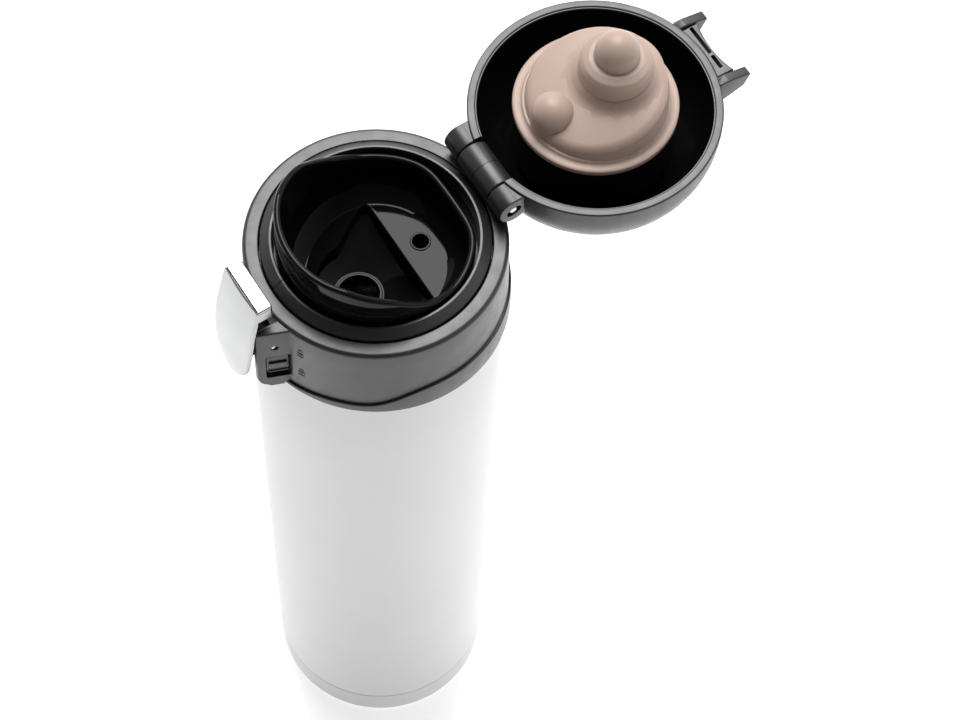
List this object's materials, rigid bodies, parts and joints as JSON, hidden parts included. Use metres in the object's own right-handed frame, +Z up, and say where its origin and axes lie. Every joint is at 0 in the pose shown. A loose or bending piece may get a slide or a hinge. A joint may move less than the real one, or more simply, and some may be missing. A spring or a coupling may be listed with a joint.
{
  "type": "insulated travel mug",
  "caption": "Slim vacuum-insulated steel travel mug with a hinged domed lid, push-button latch, sliding lock, slanted drinking cup and silicone stopper.",
  "frame": {"origin": "centre of the flat underside, where the mug stands", "axes": "+Z up along the flask's axis, +Y towards the lid's hinge, the latch at -Y, the hinge axis along X"},
  "size_m": [0.07, 0.1499, 0.2672],
  "materials": {
    "white_coat": "satin powder coat with a very fine grain",
    "bare_steel": "brushed stainless steel",
    "grey_plastic": "fine-textured moulded plastic",
    "black_gloss": "high gloss",
    "dark_plastic": "satin",
    "chrome_trim": "satin chrome plating on plastic",
    "silicone": "matt food-grade silicone",
    "clear_silicone": "translucent silicone",
    "pad": "matt",
    "glass_bead": "fused glass frit"
  },
  "bodies": {
    "flask": {"outer_shell": "white_coat", "base_cup": "white_coat", "base_pad": "pad", "outer_bottom": "bare_steel", "seal_bead": "glass_bead", "getter": "bare_steel", "inner_vessel": "bare_steel", "inner_bottom": "bare_steel"},
    "head": {"collar": "grey_plastic", "collar_skirt": "grey_plastic", "inner_ring": "grey_plastic", "spout_cup": "black_gloss", "spout_seal": "clear_silicone", "hinge_spring": "bare_steel", "latch_pin": "bare_steel", "latch_spring": "bare_steel"},
    "lid": {"lid_shell": "grey_plastic", "lid_liner": "black_gloss", "stopper_holder": "black_gloss", "stopper_gasket": "silicone", "lid_catch": "grey_plastic", "hinge_pin": "bare_steel"},
    "button": {"latch_button": "chrome_trim", "latch_lever": "dark_plastic"},
    "slider": {"lock_slider": "dark_plastic"}
  },
  "joints": [
    {"name": "head_lift", "type": "slide", "parent": "flask", "child": "head", "axis": [0, 0, 1], "range_m": [0, 0.045]},
    {"name": "lid_hinge", "type": "hinge", "parent": "head", "child": "lid", "pos_m": [0, 0.0327, 0.236], "axis": [1, 0, 0], "range_deg": [0, 180], "stiffness_Nm_per_rad": 0.02, "springref_deg": -11.46, "deforming": ["lid_catch"]},
    {"name": "button_pivot", "type": "hinge", "parent": "head", "child": "button", "pos_m": [0, -0.0356, 0.2227], "axis": [1, 0, 0], "range_deg": [0, 7], "stiffness_Nm_per_rad": 0.02, "springref_deg": -5.73, "deforming": ["latch_spring"]},
    {"name": "lock_slide", "type": "slide", "parent": "head", "child": "slider", "axis": [0, 0, 1], "range_m": [-0.0025, 0]}
  ]
}
